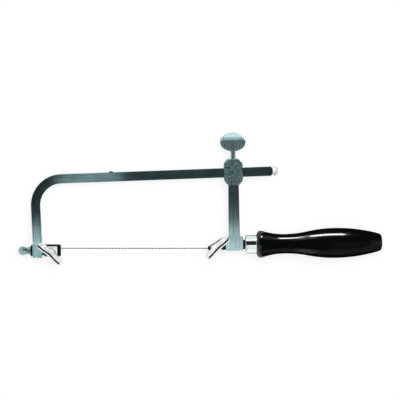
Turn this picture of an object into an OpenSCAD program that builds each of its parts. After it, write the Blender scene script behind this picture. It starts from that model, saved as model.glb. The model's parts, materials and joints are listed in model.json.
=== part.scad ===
// Adjustable fret saw frame with a fitted blade and a tension screw.
// The saw lies on its back, as on a bench. X runs along the blade towards the handle,
// Y from the blade towards the top bar, and Z up, the way the wing screws face.
// The origin is under the middle of the whole saw, on the surface that it lies on.
// The pieces are drawn from where the blade leaves the front clamp, and then moved there.

/* [Blade] */
// Length of the blade from end to end
blade_len = 127; // [120:0.5:135]
// Height of the blade's back, without the teeth
blade_h = 0.55; // [0.5:0.05:0.9]
// Thickness of the blade
blade_t = 0.4; // [0.3:0.05:0.5]
// Height of one tooth
tooth_h = 0.35; // [0.2:0.05:0.5]
// Distance of the blade's middle below the middle of the clamps
blade_sink = 0.25; // [0:0.05:0.3]
// Distance from one tooth to the next
tooth_pitch = 2.6; // [1.5:0.1:4]
// Plain length at the front end, before the teeth start
plain_front = 28; // [20:0.5:35]
// Plain length at the rear end
plain_rear = 20.5; // [16:0.5:35]
// Length held in the front clamp
front_hold = 6.5; // [5:0.1:6.6]
// Length held in the rear clamp
rear_hold = 5.3; // [4:0.1:5.4]

/* [Frame] */
// Height of the flat bar that the frame is bent from, in the plane of the saw
bar_h = 7.2; // [6:0.1:8]
// Thickness of the flat bar
bar_t = 3.8; // [3:0.1:4.4]
// Length of the top bar past the middle of the slide block
bar_past = 29.3; // [12:0.1:60]
// Length of the blunt point at the end of the top bar
bar_point = 1.4; // [0.6:0.1:3]
// Radius of the bend, to the middle of the bar
bend_r = 20.6; // [12:0.1:28]
// Length of the front arm, from the tension screw to the bend
arm_len = 35.3; // [28:0.1:60]
// Rise of the top bar towards the handle, in degrees
bar_rise = 2.1; // [1.2:0.1:3]
// Length of the front boss along the tension screw
boss_len = 7.5; // [7.1:0.1:11]
// Height of the front boss
boss_h = 10.2; // [9.2:0.1:14]
// Thickness of the front boss and the rear boss
boss_t = 9; // [8.4:0.1:9.2]
// Wall of the front boss that carries the head of the tension screw
boss_wall = 1.7; // [1:0.1:1.8]
// Height of the slanted shoulder above the front boss
boss_shoulder = 2.4; // [1:0.1:4]
// Distance from the bend to the stop pin on the top bar
stop_at = 39; // [5:0.5:90]
// Radius of the stop pin's head
stop_head_r = 1.9; // [1.2:0.1:1.9]
// Radius of the end screw's head
end_head_r = 3.5; // [2.6:0.1:4.5]
// Height of the end screw's head
end_head_h = 4.1; // [3:0.1:6]

/* [Tension screw] */
// Radius of the tension screw's thread
tension_r = 2; // [1.5:0.1:2.2]
// Distance of the tension screw below the blade
tension_drop = 2; // [1.6:0.1:2.6]
// Length of the tension screw's thread inside the front jaw
tension_reach = 4.6; // [3:0.1:4.9]
// Radius of the washer under the tension screw's head
washer_r = 4.5; // [3.8:0.1:5.5]
// Thickness of that washer
washer_t = 1.6; // [0.8:0.1:2.4]
// Radius of the collar that bears on the washer
collar_r = 3.8; // [3:0.1:3.8]
// Radius of the neck behind the disc-shaped head
neck_r = 2.6; // [2.2:0.1:2.9]
// Length of the cone from the collar to the neck
neck_len = 2.8; // [2:0.1:4]
// Radius of the disc-shaped head
disc_r = 3.6; // [3.2:0.1:6]
// Thickness of the disc-shaped head
disc_t = 3.6; // [2.4:0.1:4.4]

/* [Front clamp] */
// Length of the front jaw along the blade
jaw_len = 12.7; // [12.5:0.1:14.3]
// Height of the front jaw
jaw_h = 9.1; // [8.8:0.1:10.4]
// Gap between the front jaw and the front boss, used up as the blade is tightened
jaw_gap = 1.4; // [1.4:0.1:2.4]
// Side of the square shank that slides in the front boss
shank_w = 6.4; // [5.6:0.1:6.8]
// Length of the square shank
shank_len = 5.9; // [5.1:0.1:5.9]
// Distance of the front clamp screw behind the mouth of the jaw
front_screw_at = 7.8; // [7.5:0.1:8]
// Gap between the front clamp screw and the edge of the blade above it
blade_gap = 0.35; // [0.25:0.05:0.7]
// Turn of the front wing, in degrees
front_wing_turn = -41; // [-90:1:90]

/* [Clamp screws] */
// Radius of the thread of both clamp screws
stud_r = 2; // [1.6:0.1:2.1]
// Thickness of both clamp plates
plate_t = 2.2; // [2:0.1:3]
// Bevel round both clamp plates
plate_bevel = 0.7; // [0.3:0.1:0.9]
// Radius of the guide pins that keep the plates from turning
guide_r = 0.6; // [0.4:0.05:0.65]
// Length of a wing from tip to tip
wing_span = 23.4; // [20:0.1:25]
// Thickness of a wing over both of its sheets
wing_t = 5; // [4:0.1:5.4]
// Width of the hollow between the two sheets of a wing
wing_slot = 1.2; // [0.8:0.1:1.8]
// Height of a wing above its clamp plate
wing_h = 10.8; // [10.2:0.1:14]
// Radius of the round foot of a wing
foot_r = 3.1; // [2.8:0.05:3.2]

/* [Rear arm] */
// Lean of the rear arm and rise of the handle, in degrees
rear_lean = 1; // [0.8:0.1:2]
// Distance from the mouth of the rear jaw to the middle of the rear boss
rear_reach = 20.7; // [20.4:0.1:24]
// Height of the handle's axis above the blade, at the rear boss
axis_rise = 2.8; // [2.6:0.1:3.1]
// Length of the rear boss along the handle
rear_boss_len = 13.3; // [11:0.1:13.6]
// Height of the rear boss above the handle's axis
rear_boss_up = 5.5; // [5.2:0.1:8]
// Height of the rear boss below the handle's axis
rear_boss_down = 4.2; // [4:0.1:4.6]
// Width of the rear arm at the boss
arm_w_low = 8.9; // [8.2:0.1:10]
// Width of the rear arm at the slide block
arm_w_high = 8.2; // [7.6:0.1:8.8]
// Thickness of the rear arm
arm_t = 4.2; // [3.4:0.1:5]
// Height of the mouth of the rear jaw
tip_h = 2.7; // [2.5:0.1:3]
// Distance of the rear clamp screw behind the mouth of the jaw
rear_screw_at = 7.4; // [7.3:0.1:7.7]
// Turn of the rear wing, in degrees
rear_wing_turn = 44; // [-90:1:90]

/* [Slide block] */
// Width of the slide block along the top bar
block_w = 14.5; // [12:0.1:20]
// Height of the slide block above the middle of the top bar
block_up = 10.5; // [9.6:0.1:14]
// Height of the slide block below the middle of the top bar
block_down = 9.6; // [9.4:0.1:12]
// Thickness of the slide block
block_t = 9.6; // [8:0.1:12]
// Width of the flat on top of the slide block
block_top_w = 8.8; // [6:0.1:10]
// Height of the slanted shoulders of the slide block
block_shoulder = 3.4; // [2:0.1:4]
// Length of the rear arm's tenon inside the slide block
tenon_len = 5; // [4:0.1:5]
// Radius of the rivet through the tenon
rivet_r = 1.2; // [0.8:0.1:1.3]

/* [Thumbscrew] */
// Radius of the thumbscrew's thread and neck
thumb_r = 2; // [1.6:0.1:2.4]
// Length of the neck that shows between the slide block and the head
thumb_neck = 5.9; // [4:0.1:9]
// Width of the oval head
thumb_w = 19.8; // [16:0.1:26]
// Height of the oval head
thumb_h = 14.6; // [13:0.1:16]
// Radius of the rounded ends of the oval head
thumb_end_r = 5.8; // [5:0.1:6.2]
// Thickness of the head at its neck
thumb_t = 4.6; // [4.4:0.1:5.6]
// Thickness of the head at its rim
thumb_rim_t = 1.8; // [1.2:0.1:2.4]
// Height of the pressure shoe under the thumbscrew
shoe_h = 1.9; // [1.6:0.1:2.1]
// Length of the pressure shoe along the top bar
shoe_len = 6; // [5:0.1:8]
// Room for the pressure shoe to rise as the thumbscrew is turned back
shoe_travel = 1.4; // [1.4:0.1:2]

/* [Handle] */
// Length of the wooden handle behind the ferrule
handle_len = 97.7; // [85:0.1:120]
// Radius of the ferrule
ferrule_r = 7.4; // [6.8:0.05:7.45]
// Length of the ferrule
ferrule_len = 9.1; // [6:0.1:14]
// Wall of the ferrule
ferrule_wall = 0.9; // [0.5:0.1:1.2]
// Gap between the rear boss and the ferrule, where the neck of the tang shows
neck_gap = 1.8; // [1:0.1:4]
// Radius of the neck of the tang
tang_neck_r = 3.7; // [3.4:0.05:4]
// Radius of the tang inside the handle
tang_r = 2.8; // [2:0.1:3.2]
// Length of the tang inside the handle
tang_len = 46; // [30:1:60]
// Radius of the rounded front lip of the handle
lip_r = 10.6; // [9.6:0.1:12]
// Radius of the rounding of that lip
lip_round_r = 3.1; // [1.5:0.1:3.4]
// Radius of the handle at its waist
waist_r = 7.6; // [6.8:0.05:8.4]
// Distance of the waist from the front of the handle
waist_at = 21.5; // [16:0.1:26]
// Radius of the handle at its thickest place
belly_r = 11.72; // [10:0.02:13]
// Distance of the thickest place from the front of the handle
belly_at = 61.5; // [52:0.5:66]
// Radius of the flat at the end of the handle
end_flat_r = 3.6; // [1:0.1:4.4]
// Radius of the rounding at the end of the handle
end_round_r = 3.6; // [3:0.1:6]

/* [Fits] */
// Clearance of a thread, a pin or the tang in its hole
fit = 0.05; // [0.02:0.01:0.08]
// Clearance of the top bar and the square shank in their slides
slide_fit = 0.08; // [0.04:0.01:0.12]
// Clearance between the blade and each clamp face
grip_fit = 0.03; // [0.01:0.01:0.05]
// Gap between pieces that pass each other
clear = 0.3; // [0.2:0.05:0.4]

/* [Hidden] */
$fn = 96;

// Length by which a cut runs past the face that it opens
overrun = 1;
// Depth by which a slanted face runs into the piece that it blends into
blend = 0.1;

// Blade
blade_edge = (blade_h + tooth_h) / 2;
mouth_span = blade_len - front_hold - rear_hold;
grip = blade_t / 2 + grip_fit;
tooth_base_share = 0.55;
tooth_count = floor((blade_len - plain_front - plain_rear) / tooth_pitch);

// Frame, drawn from the foot of its arm on the axis of the tension screw
boss_in = -jaw_len - jaw_gap;
boss_out = boss_in - boss_len;
boss_top = -tension_drop + boss_h / 2;
boss_low = -tension_drop - boss_h / 2;
boss_chamfer = 0.8;
arm_foot = [boss_out + bar_h / 2 + boss_h / 2 * tan(bar_rise), -tension_drop];
bar_mid = arm_len + bend_r;
bar_start = arm_foot + turned([bend_r, bar_mid], bar_rise);
bar_way = [cos(bar_rise), sin(bar_rise)];
point_h_share = 0.45;
stop_pin_r = 0.9;
stop_pin_len = 3;
stop_head_h = 0.9;
end_screw_r = 1.25;
end_screw_len = 8;
end_rim_h = 1.2;
end_slot_w = 0.9;
end_slot_depth = 1.1;

// Tension screw
disc_sink = 0.2;
disc_rim_t = 2;
disc_mid = boss_out - washer_t - neck_len - disc_r + disc_sink;
tension_bore = tension_reach + jaw_gap + clear;

// Front clamp
jaw_back = boss_t / 2;
jaw_corner_r = 1.2;
plate_lip = 2.6;
plate_set = 1.55;
plate_rebate = 1;
front_screw = [-front_screw_at, -blade_sink - blade_edge - blade_gap - stud_r];
guide_sink = 2;
guide_short = 0.5;
front_guide = [front_screw.x + 1.8 * stud_r, front_screw.y - stud_r / 2];

// Clamp screws and wings
plate_top = grip + plate_t;
foot_h = 4.3;
stud_short = 0.5;
lobe_share = 0.35;
lobe_r = wing_h * lobe_share;
lobe_mid = [wing_span / 2 - lobe_r, wing_h - lobe_r];
web_low_share = 0.12;
web_dip_share = 0.46;
hollow_share = 0.42;

// Rear arm, drawn from the middle of the rear boss on the axis of the handle
rear_mid = [mouth_span + rear_reach, axis_rise];
block_mid = cross_of(rear_mid - bar_start, bar_way) / cos(bar_rise - rear_lean);
block_low = block_mid - block_down;
bar_len = norm(rear_mid + turned([0, block_mid], rear_lean) - bar_start) + bar_past;
jaw_step = 0.2;
jaw_low = jaw_step - rear_boss_down;
jaw_high = rear_boss_up - 2 * jaw_step;
slope_start = 1.1;
slope_end = 11;
rear_screw_share = 0.46;
rear_screw = [rear_screw_at - rear_reach,
    jaw_low + rear_screw_share * (slope_at(rear_screw_at) - jaw_low)];
rear_guide = [rear_screw.x + stud_r, rear_screw.y + 1.5 * stud_r];
rear_plate_start = 2.3;
rear_plate_end = 10.8;
plate_inset = 0.42;
rear_shoulder = 1.6;
tenon_step = 0.6;
tenon_w = arm_w_high - 2 * tenon_step;

// Slide block
foot_margin = 0.1;
block_foot_w = arm_w_high + 2 * foot_margin;
tilt_gap = shoe_len / 2 * sin(bar_rise - rear_lean) + grip_fit;
shoe_low = bar_h / 2 + tilt_gap;
shoe_w = bar_t - 2 * slide_fit;
pocket_top = shoe_low + shoe_h + shoe_travel + fit;
tip_r = 1.2;
tip_len = 0.9;
rivet_proud = 0.25;
rivet_side = 1.9;
rivet_at = [rivet_side, block_low + tenon_len / 2];

// Thumbscrew: its oval is made of four arcs
head_half = [thumb_w / 2, thumb_h / 2];
flank_r = (pow(head_half.x - thumb_end_r, 2) + pow(head_half.y, 2) - pow(thumb_end_r, 2))
    / (2 * (head_half.y - thumb_end_r));
head_mid = block_mid + block_up + thumb_neck + head_half.y;
crease_share = 0.25;
crease_t_share = 0.9;
flute_r = 0.7;
flute_depth = 0.25;
flute_step = 2.3;
flute_count = 7;

// Handle: arcs that meet where they run the same way, and the pieces under it
ferrule_at = rear_boss_len / 2 + neck_gap;
handle_at = ferrule_at + ferrule_len;
ferrule_chamfer = 0.6;
spigot_r = ferrule_r - ferrule_wall - fit;
lip_step = waist_r - lip_r + lip_round_r;
flare_r = (pow(waist_at - lip_round_r, 2) + pow(lip_step, 2) - pow(lip_round_r, 2))
    / (2 * (lip_round_r - lip_step));
swell = belly_r - waist_r;
swell_r = (pow(belly_at - waist_at, 2) + pow(swell, 2)) / (2 * swell);
hollow_r_share = 0.45;
tail_len = handle_len - end_round_r - belly_at;
tail_drop = belly_r - end_flat_r;
tail_r = (pow(tail_len, 2) + pow(tail_drop, 2) - pow(end_round_r, 2)) / (2 * (tail_drop - end_round_r));
curve_steps = 10;

// Middle of the whole saw
left_end = disc_mid - disc_r;
right_end = rear_mid.x + (handle_at + handle_len - end_round_r) * cos(rear_lean)
    + end_flat_r * sin(rear_lean) + end_round_r;
top_end = rear_mid.y + (head_mid + head_half.y - flank_r) * cos(rear_lean) + flank_r;
wing_low = front_screw.y - (wing_span - wing_t) / 2 * abs(sin(front_wing_turn)) - wing_t / 2;
belly_low = rear_mid.y + (handle_at + belly_at) * sin(rear_lean) - belly_r;
middle = [(left_end + right_end) / 2, (top_end + min(wing_low, belly_low)) / 2];

// A point turned about the origin
function turned(p, a) = [p.x * cos(a) - p.y * sin(a), p.x * sin(a) + p.y * cos(a)];

// The length of the cross product of two flat vectors
function cross_of(u, v) = u.x * v.y - u.y * v.x;

// Points on an arc about a middle, from one angle to another
function arc(mid, r, from, to) =
    [for (i = [0:curve_steps]) let (a = from + (to - from) * i / curve_steps)
        mid + r * [cos(a), sin(a)]];

// Height of the rear jaw's slanted edge, at a distance behind its mouth
function slope_at(d) =
    jaw_low + tip_h + (jaw_high - jaw_low - tip_h) * (d - slope_start) / (slope_end - slope_start);

// Radius of a sphere whose cap has this radius and height
function cap_r(r, h) = (r * r + h * h) / (2 * h);

// From where the blade leaves the front clamp to the bench
module on_bench() {
    translate([-middle.x, -middle.y, belly_r]) children();
}

// Along the front arm and the top bar, from the arm's foot
module along_bow() {
    on_bench() translate(arm_foot) rotate(bar_rise) children();
}

// Along the top bar, from the end of the bend
module along_bar() {
    on_bench() translate(bar_start) rotate(bar_rise) children();
}

// Up the rear arm and along the handle, from the middle of the rear boss
module along_rear() {
    on_bench() translate(rear_mid) rotate(rear_lean) children();
}

// With Z along the tension screw, towards the handle
module along_tension() {
    on_bench() translate([0, -tension_drop]) rotate([0, 90, 0]) children();
}

module at_front_screw() {
    on_bench() translate(front_screw) children();
}

module at_rear_screw() {
    along_rear() translate(rear_screw) children();
}

// Frame

module bow_outline() {
    translate([-bar_h / 2, 0]) square([bar_h, arm_len]);
    intersection() {
        translate([-bar_h / 2 - overrun, arm_len]) square(bend_r + bar_h / 2 + overrun);
        translate([bend_r, arm_len]) difference() {
            circle(bend_r + bar_h / 2);
            circle(bend_r - bar_h / 2);
        }
    }
    translate([bend_r, bar_mid]) {
        translate([0, -bar_h / 2]) square([bar_len, bar_h]);
        polygon([[bar_len, -bar_h / 2], [bar_len + bar_point, -bar_h / 2 * point_h_share],
            [bar_len + bar_point, bar_h / 2 * point_h_share], [bar_len, bar_h / 2]]);
    }
}

// A block as thick as the boss, with shoulders that slant down to the thickness of its arm
module shouldered_boss(outline, top, shoulder, thickness, end_thickness) {
    low = -blade_len;
    intersection() {
        linear_extrude(thickness, center = true) polygon(outline);
        rotate([90, 0, 90]) linear_extrude(blade_len, center = true)
            polygon([[low, -thickness / 2], [top, -thickness / 2], [top + shoulder, -end_thickness / 2],
                [top + shoulder, end_thickness / 2], [top, thickness / 2], [low, thickness / 2]]);
    }
}

module front_boss() {
    arm_side = boss_out + bar_h - blend - (boss_h / 2 + boss_shoulder) * tan(bar_rise);
    shouldered_boss([[boss_out + boss_chamfer, boss_low], [boss_in, boss_low], [boss_in, boss_top],
        [arm_side, boss_top + boss_shoulder], [boss_out, boss_top + boss_shoulder],
        [boss_out, boss_low + boss_chamfer]], boss_top, boss_shoulder, boss_t, bar_t - 2 * blend);
}

module frame_bow() {
    hole_w = shank_w + 2 * slide_fit;
    color("#74898a") difference() {
        union() {
            along_bow() linear_extrude(bar_t, center = true) bow_outline();
            on_bench() front_boss();
        }
        along_tension() {
            translate([0, 0, boss_out - overrun]) cylinder(r = tension_r + fit, h = boss_wall + 2 * overrun);
            translate([-hole_w / 2, -hole_w / 2, boss_out + boss_wall])
                cube([hole_w, hole_w, boss_len - boss_wall + overrun]);
        }
        along_bar() {
            translate([stop_at, bar_h / 2 + overrun]) rotate([90, 0, 0])
                cylinder(r = stop_pin_r + fit, h = stop_pin_len + overrun + fit);
            translate([bar_len + bar_point + overrun, 0]) rotate([0, -90, 0])
                cylinder(r = end_screw_r + fit, h = end_screw_len + overrun + fit);
        }
    }
}

// A round head with a domed top, standing on its rim
module domed_head(r, h, rim_h) {
    dome_r = cap_r(r, h - rim_h);
    intersection() {
        cylinder(r = r, h = h);
        translate([0, 0, h - dome_r]) sphere(dome_r);
    }
}

module bar_stop_pin() {
    color("#22292b") along_bar() translate([stop_at, bar_h / 2]) rotate([-90, 0, 0]) {
        domed_head(stop_head_r, stop_head_h, 0);
        translate([0, 0, -stop_pin_len]) cylinder(r = stop_pin_r, h = stop_pin_len + stop_head_h / 2);
    }
}

module bar_end_screw() {
    color("#e4ecec") along_bar() translate([bar_len + bar_point, 0]) rotate([0, 90, 0]) {
        difference() {
            domed_head(end_head_r, end_head_h, end_rim_h);
            translate([-end_head_r, -end_slot_w / 2, end_head_h - end_slot_depth])
                cube([2 * end_head_r, end_slot_w, end_slot_depth + overrun]);
        }
        translate([0, 0, -end_screw_len]) cylinder(r = end_screw_r, h = end_screw_len + end_rim_h);
    }
}

// Tension screw

module tension_washer() {
    color("#22292b") along_tension() translate([0, 0, boss_out - washer_t]) difference() {
        cylinder(r = washer_r, h = washer_t);
        translate([0, 0, -overrun]) cylinder(r = tension_r + fit, h = washer_t + 2 * overrun);
    }
}

module tension_screw() {
    seat = boss_out - washer_t;
    tip = -jaw_len - shank_len + tension_reach;
    color("#7d9092") {
        along_tension() {
            translate([0, 0, seat - blend]) cylinder(r = tension_r, h = tip - seat + blend);
            translate([0, 0, seat - neck_len]) cylinder(r1 = neck_r, r2 = collar_r, h = neck_len);
            translate([0, 0, disc_mid]) cylinder(r = neck_r, h = seat - neck_len - disc_mid + blend);
        }
        on_bench() translate([disc_mid, -tension_drop]) intersection() {
            cylinder(r = disc_r, h = disc_t, center = true);
            sphere(norm([disc_r, disc_rim_t / 2]));
        }
    }
}

// Front clamp

// A jaw's outline along the blade, with the two corners at its mouth rounded
module jaw_outline(length, low, high, r) {
    translate([-length, low]) square([length - r, high - low]);
    translate([-r, low + r]) square([r, high - low - 2 * r]);
    for (y = [low + r, high - r]) translate([-r, y]) circle(r);
}

module front_jaw() {
    low = -tension_drop - jaw_h / 2;
    color("#22292b") difference() {
        on_bench() {
            translate([0, 0, -jaw_back]) linear_extrude(jaw_back - grip)
                jaw_outline(jaw_len, low, low + jaw_h, jaw_corner_r);
            translate([-jaw_len - shank_len, -tension_drop - shank_w / 2, -shank_w / 2])
                cube([shank_len, shank_w, shank_w]);
        }
        along_tension() translate([0, 0, -jaw_len - shank_len - overrun])
            cylinder(r = tension_r + fit, h = tension_bore + overrun);
        at_front_screw() cylinder(r = stud_r + fit, h = 2 * (jaw_back + overrun), center = true);
        on_bench() translate([front_guide.x, front_guide.y, -grip - guide_sink])
            cylinder(r = guide_r + fit, h = guide_sink + overrun);
    }
}

module guide_pin() {
    translate([0, 0, -grip - guide_sink]) cylinder(r = guide_r, h = guide_sink + grip + plate_top - guide_short);
}

module front_guide_pin() {
    color("#8d9799") on_bench() translate(front_guide) guide_pin();
}

// A flat plate with a bevel along every side of its top, from an outline of straight sides
module bevelled_plate(outline) {
    reach = plate_bevel + overrun;
    difference() {
        translate([0, 0, grip]) linear_extrude(plate_t) polygon(outline);
        for (i = [0:len(outline) - 1]) {
            start = outline[i];
            side = outline[(i + 1) % len(outline)] - start;
            translate([start.x, start.y, plate_top - plate_bevel]) rotate([90, 0, 90 + atan2(side.y, side.x)])
                translate([0, 0, -overrun]) linear_extrude(norm(side) + 2 * overrun)
                    polygon([[-overrun, -overrun], [reach, reach], [-overrun, reach]]);
        }
    }
}

module plate_holes(screw, guide) {
    translate([screw.x, screw.y, grip - overrun]) cylinder(r = stud_r + 2 * fit, h = plate_t + 2 * overrun);
    translate([guide.x, guide.y, grip - overrun]) cylinder(r = guide_r + 2 * fit, h = plate_t + 2 * overrun);
}

module front_clamp_plate() {
    low = [plate_set - jaw_len, -tension_drop - jaw_h / 2 + plate_rebate];
    high = [-plate_lip, low.y + jaw_h - 2 * plate_rebate];
    color("#dfe7e7") on_bench() difference() {
        bevelled_plate([low, [high.x, low.y], high, [low.x, high.y]]);
        plate_holes(front_screw, front_guide);
    }
}

// Clamp screws

module clamp_stud() {
    low = -jaw_back + stud_short;
    translate([0, 0, low]) cylinder(r = stud_r, h = plate_top + foot_h - stud_short - low);
}

module front_clamp_stud() {
    color("#b9c4c4") at_front_screw() clamp_stud();
}

// One half of a wing's side view: a round lobe and the web that joins it to the foot
module wing_lobe() {
    translate(lobe_mid) circle(lobe_r);
    polygon([[0, wing_h * web_low_share], [lobe_mid.x, lobe_mid.y - lobe_r], lobe_mid,
        lobe_mid + lobe_r * [cos(135), sin(135)], [0, wing_h * web_dip_share]]);
}

module wing() {
    tip_mid = wing_span / 2 - wing_t / 2;
    translate([0, 0, plate_top]) difference() {
        union() {
            cylinder(r = foot_r, h = foot_h);
            intersection() {
                rotate([90, 0, 0]) linear_extrude(wing_t, center = true) {
                    wing_lobe();
                    mirror([1, 0]) wing_lobe();
                }
                linear_extrude(wing_h) {
                    square([2 * tip_mid, wing_t], center = true);
                    for (x = [-tip_mid, tip_mid]) translate([x, 0]) circle(wing_t / 2);
                }
            }
        }
        translate([0, 0, -overrun]) cylinder(r = stud_r + fit, h = foot_h - stud_short + overrun + fit);
        translate([-wing_span / 2 - overrun, -wing_slot / 2, wing_h * hollow_share])
            cube([wing_span + 2 * overrun, wing_slot, wing_h]);
    }
}

module front_wing() {
    color("#e8eeee") at_front_screw() rotate(front_wing_turn) wing();
}

// Blade

module blade() {
    root = tooth_h - blade_edge;
    start = plain_front - front_hold;
    teeth = [for (i = [tooth_count - 1:-1:0]) let (x = start + i * tooth_pitch)
        each [[x + tooth_base_share * tooth_pitch, root], [x + tooth_base_share * tooth_pitch, -blade_edge],
            [x, root]]];
    color("#4c5658") on_bench() translate([0, -blade_sink]) linear_extrude(blade_t, center = true)
        polygon(concat([[-front_hold, root], [-front_hold, blade_edge], [blade_len - front_hold, blade_edge],
            [blade_len - front_hold, root]], teeth));
}

// Rear arm

module rear_jaw_outline() {
    polygon([[-rear_reach, jaw_low], [-rear_reach, jaw_low + tip_h],
        [slope_start - rear_reach, jaw_low + tip_h], [slope_end - rear_reach, jaw_high],
        [overrun - rear_boss_len / 2, jaw_high], [overrun - rear_boss_len / 2, jaw_low]]);
}

module rear_arm_outline() {
    polygon([[-arm_w_low / 2, 0], [arm_w_low / 2, 0], [arm_w_high / 2, block_low],
        [tenon_w / 2, block_low], [tenon_w / 2, block_low + tenon_len],
        [-tenon_w / 2, block_low + tenon_len], [-tenon_w / 2, block_low], [-arm_w_high / 2, block_low]]);
}

module rear_boss() {
    side = arm_w_low / 2 - blend;
    half = rear_boss_len / 2;
    shouldered_boss([[-half, -rear_boss_down], [half, -rear_boss_down], [half, rear_boss_up],
        [side, rear_boss_up + rear_shoulder], [-side, rear_boss_up + rear_shoulder], [-half, rear_boss_up]],
        rear_boss_up, rear_shoulder, boss_t, arm_t - 2 * blend);
}

module rear_arm() {
    neck_end = ferrule_at + ferrule_wall;
    color("#8fa6a6") difference() {
        along_rear() {
            linear_extrude(arm_t, center = true) rear_arm_outline();
            rear_boss();
            translate([0, 0, -jaw_back]) linear_extrude(jaw_back - grip) rear_jaw_outline();
            rotate([0, 90, 0]) {
                cylinder(r = tang_neck_r, h = neck_end);
                cylinder(r = tang_r, h = handle_at + tang_len);
            }
        }
        at_rear_screw() cylinder(r = stud_r + fit, h = 2 * (jaw_back + overrun), center = true);
        along_rear() {
            translate([rear_guide.x, rear_guide.y, -grip - guide_sink])
                cylinder(r = guide_r + fit, h = guide_sink + overrun);
            translate(rivet_at) cylinder(r = rivet_r + fit, h = arm_t + 2 * overrun, center = true);
        }
    }
}

module rear_guide_pin() {
    color("#8d9799") along_rear() translate(rear_guide) guide_pin();
}

module rear_clamp_plate() {
    left = rear_plate_start - rear_reach;
    right = rear_plate_end - rear_reach;
    low = jaw_low + jaw_step;
    color("#dfe7e7") along_rear() difference() {
        bevelled_plate([[left, low], [right, low], [right, slope_at(rear_plate_end) - plate_inset],
            [left, slope_at(rear_plate_start) - plate_inset]]);
        plate_holes(rear_screw, rear_guide);
    }
}

module rear_clamp_stud() {
    color("#b9c4c4") at_rear_screw() clamp_stud();
}

module rear_wing() {
    color("#e8eeee") at_rear_screw() rotate(rear_wing_turn - rear_lean) wing();
}

// Slide block

module slide_block() {
    side = block_w / 2;
    top = block_top_w / 2;
    foot = block_foot_w / 2;
    color("#45565a") difference() {
        along_rear() translate([0, block_mid]) linear_extrude(block_t, center = true)
            polygon([[-foot, -block_down], [foot, -block_down], [side, block_shoulder - block_down],
                [side, block_up - block_shoulder], [top, block_up], [-top, block_up],
                [-side, block_up - block_shoulder], [-side, block_shoulder - block_down]]);
        along_bar() cube([3 * bar_len, bar_h + 2 * slide_fit, bar_t + 2 * slide_fit], center = true);
        along_rear() {
            translate([-tenon_w / 2 - fit, block_low - overrun, -arm_t / 2 - fit])
                cube([tenon_w + 2 * fit, tenon_len + overrun + fit, arm_t + 2 * fit]);
            translate([-shoe_len / 2 - slide_fit, block_mid, -shoe_w / 2 - slide_fit])
                cube([shoe_len + 2 * slide_fit, pocket_top, shoe_w + 2 * slide_fit]);
            translate([0, block_mid]) rotate([-90, 0, 0])
                cylinder(r = thumb_r + fit, h = block_up + overrun);
            translate(rivet_at) cylinder(r = rivet_r + fit, h = block_t + 2 * overrun, center = true);
        }
    }
}

module arm_rivet() {
    color("#5f7072") along_rear() translate(rivet_at)
        cylinder(r = rivet_r, h = block_t + 2 * rivet_proud, center = true);
}

module pressure_shoe() {
    color("#b08d4a") along_rear() translate([0, block_mid + shoe_low]) difference() {
        translate([-shoe_len / 2, 0, -shoe_w / 2]) cube([shoe_len, shoe_h, shoe_w]);
        translate([0, shoe_h - tip_len]) rotate([-90, 0, 0]) cylinder(r = tip_r + fit, h = tip_len + overrun);
    }
}

// Thumbscrew

module head_outline() {
    way = [head_half.x - thumb_end_r, flank_r - head_half.y];
    turn = atan2(way.y, way.x);
    polygon(concat(arc([way.x, 0], thumb_end_r, -turn, turn), arc([0, -way.y], flank_r, turn, 180 - turn),
        arc([-way.x, 0], thumb_end_r, 180 - turn, 180 + turn),
        arc([0, way.y], flank_r, 180 + turn, 360 - turn)));
}

// Side view of the head: thick at the neck, and creased where it thins to its rim
module head_profile() {
    crease = head_half.y * crease_share;
    crease_t = thumb_t * crease_t_share;
    low = -head_half.y - overrun;
    polygon([[low, -thumb_t / 2], [crease, -crease_t / 2], [head_half.y, -thumb_rim_t / 2],
        [head_half.y, thumb_rim_t / 2], [crease, crease_t / 2], [low, thumb_t / 2]]);
}

module thumbscrew() {
    seat = block_mid + shoe_low + shoe_h;
    crease = head_half.y * crease_share;
    face = thumb_t * crease_t_share / 2 + flute_r - flute_depth;
    color("#5c6f72") along_rear() {
        translate([0, seat]) rotate([-90, 0, 0]) {
            cylinder(r = thumb_r, h = head_mid - seat);
            translate([0, 0, fit - tip_len]) cylinder(r = tip_r, h = tip_len);
        }
        translate([0, head_mid]) difference() {
            intersection() {
                linear_extrude(thumb_t, center = true) head_outline();
                rotate([90, 0, 90]) linear_extrude(thumb_w + 2 * overrun, center = true) head_profile();
            }
            for (i = [0:flute_count - 1], side = [-1, 1])
                translate([(i - (flute_count - 1) / 2) * flute_step, crease, side * face])
                    rotate([90, 0, 0]) cylinder(r = flute_r, h = thumb_h);
        }
    }
}

// Handle

module ferrule() {
    hole = tang_neck_r + fit;
    inner = ferrule_r - ferrule_wall;
    color("#e6ecec") along_rear() translate([ferrule_at, 0]) rotate([0, 90, 0]) rotate_extrude()
        polygon([[hole, 0], [ferrule_r - ferrule_chamfer, 0], [ferrule_r, ferrule_chamfer],
            [ferrule_r, ferrule_len], [inner, ferrule_len], [inner, ferrule_wall], [hole, ferrule_wall]]);
}

function handle_profile() =
    let (lip_turn = atan2(waist_at - lip_round_r, flare_r + lip_step),
        hollow_r = swell_r * hollow_r_share,
        belly_front_r = swell_r - hollow_r,
        swell_turn = atan2(belly_at - waist_at, swell_r - swell),
        tail_turn = atan2(tail_len, tail_r - tail_drop))
    concat(
        arc([lip_r - lip_round_r, lip_round_r], lip_round_r, -90, lip_turn),
        arc([waist_r + flare_r, waist_at], flare_r, 180 + lip_turn, 180),
        arc([waist_r + hollow_r, waist_at], hollow_r, 180, 180 - swell_turn),
        arc([belly_r - belly_front_r, belly_at], belly_front_r, -swell_turn, 0),
        arc([belly_r - tail_r, belly_at], tail_r, 0, tail_turn),
        arc([end_flat_r, handle_len - end_round_r], end_round_r, tail_turn, 90));

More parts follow.
